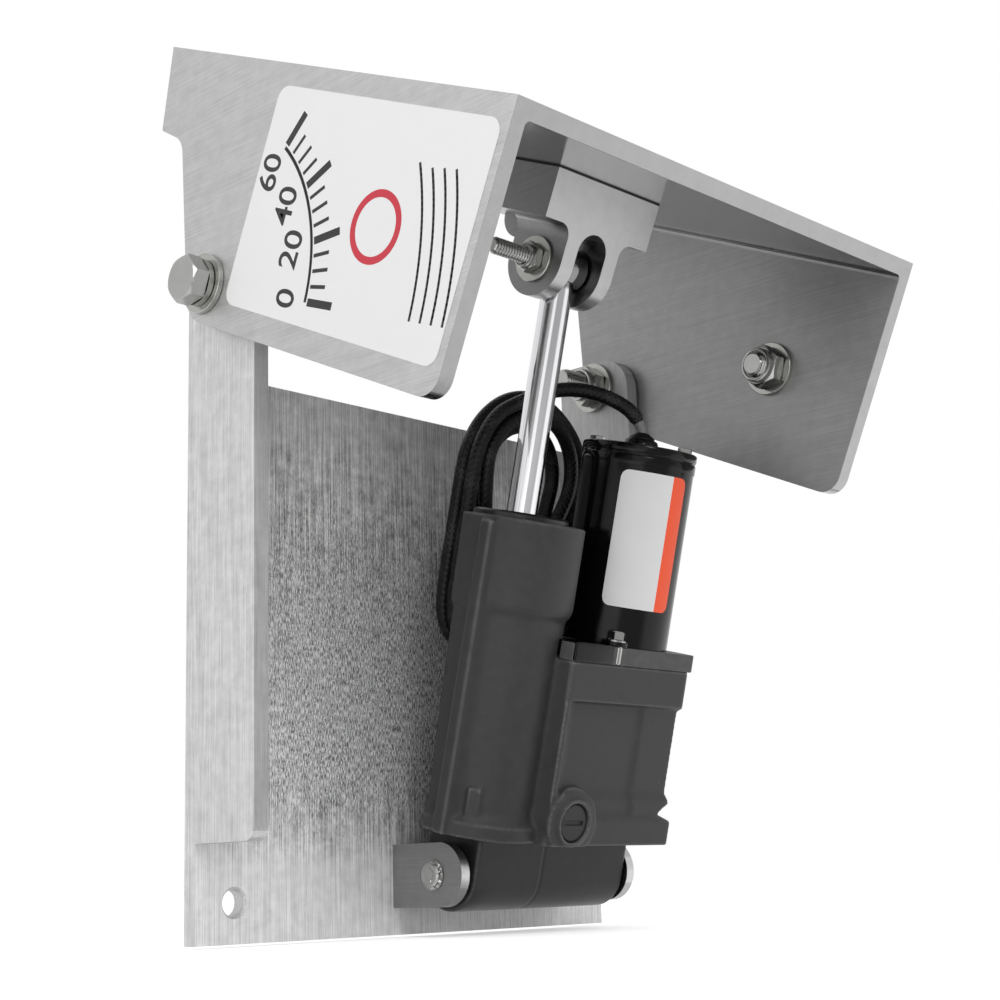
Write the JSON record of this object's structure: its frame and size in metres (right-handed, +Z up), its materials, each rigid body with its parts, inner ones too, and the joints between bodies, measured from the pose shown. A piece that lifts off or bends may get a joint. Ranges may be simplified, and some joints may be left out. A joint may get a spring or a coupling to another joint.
{
  "type": "power trim and tilt unit",
  "caption": "Bolt-on trim and tilt bracket for an outboard motor: a transom bracket, a hinged motor bracket, and an electro-hydraulic ram between them.",
  "frame": {"origin": "centre of the transom bolt pattern, on the face that rests on the transom", "axes": "+Z up, +Y towards the boat out of the transom face, +X to the right seen from behind the boat"},
  "size_m": [0.377, 0.2782, 0.5042],
  "materials": {
    "bracket": "brushed",
    "machined": "machined",
    "casting": "satin",
    "black": "gloss",
    "stainless": "bright",
    "chrome": "polished",
    "steel": "plain",
    "bronze": "plain",
    "seal": "matt",
    "nylon": "matt",
    "decal": "satin",
    "label": "satin",
    "cable": "satin",
    "magnet": "matt",
    "winding": "laminated"
  },
  "bodies": {
    "base": {"base_bracket": "bracket", "lower_ear_left": "machined", "lower_ear_right": "machined", "ear_screws": "stainless", "lower_pin": "stainless", "pin_rings": "stainless", "pin_spacers": "nylon", "pivot_bolts": "stainless", "pivot_washers": "stainless", "lock_washers": "stainless", "pivot_nuts": "stainless"},
    "tilt_bracket": {"tilt_bracket": "bracket", "side_decal": "decal", "clevis_block": "machined", "clevis_screws": "stainless", "clevis_bolt": "stainless", "clevis_washers": "stainless", "clevis_nut": "stainless", "side_bolt": "stainless", "side_bolt_washer": "stainless", "side_bolt_nut": "stainless", "pivot_bushes": "nylon"},
    "cylinder": {"cylinder_housing": "casting", "gland": "black", "rod_wiper": "seal", "rod_seal": "seal", "lug_bushes": "bronze", "pump_housing": "casting", "gear_cover": "steel", "lower_manifold": "casting", "motor_adapter": "casting", "motor_can": "black", "motor_foot_bolts": "stainless", "motor_cap": "black", "cable_grommet": "seal", "motor_long_bolts": "stainless", "field_magnets": "magnet", "brush_ring": "nylon", "motor_bearings": "bronze", "idler_shaft": "steel", "motor_label": "label", "harness_lead": "cable", "harness_coil": "cable", "cable_strap": "nylon", "harness_plug": "nylon"},
    "rod": {"piston_rod": "chrome", "eye_bush": "bronze", "clevis_pin": "stainless", "piston": "steel", "piston_seal": "seal", "piston_nut": "steel"},
    "armature": {"armature": "winding", "drive_gear": "steel"},
    "driven_gear": {"driven_gear": "steel"},
    "release_valve": {"release_valve": "casting"}
  },
  "joints": [
    {"name": "tilt", "type": "hinge", "parent": "base", "child": "tilt_bracket", "pos_m": [0, -0.02975, 0.2288], "axis": [1, 0, 0], "range_deg": [0, 64.2]},
    {"name": "ram_swing", "type": "hinge", "parent": "base", "child": "cylinder", "pos_m": [0.004, -0.0423, -0.0901], "axis": [1, 0, 0], "range_deg": [-2.09, 0.01]},
    {"name": "rod_slide", "type": "slide", "parent": "cylinder", "child": "rod", "axis": [0, -0.2575, 0.9663], "range_m": [-0.1128, 0.0001]},
    {"name": "motor_spin", "type": "hinge", "parent": "cylinder", "child": "armature", "pos_m": [0.0895, -0.08865, 0.05278], "axis": [0, -0.2575, 0.9663], "continuous": true},
    {"name": "idler_spin", "type": "hinge", "parent": "cylinder", "child": "driven_gear", "pos_m": [0.071, -0.08041, 0.02186], "axis": [0, -0.2575, 0.9663], "continuous": true},
    {"name": "release_turn", "type": "hinge", "parent": "cylinder", "child": "release_valve", "pos_m": [0.037, -0.09608, -0.06303], "axis": [0, -0.9663, -0.2575], "range_deg": [0, 1080]}
  ],
  "couplings": [
    {"joint": "ram_swing", "follows": "tilt", "ratio": -0.032404},
    {"joint": "rod_slide", "follows": "tilt", "m_per_rad": -0.10048},
    {"joint": "idler_spin", "follows": "motor_spin", "ratio": -1}
  ]
}
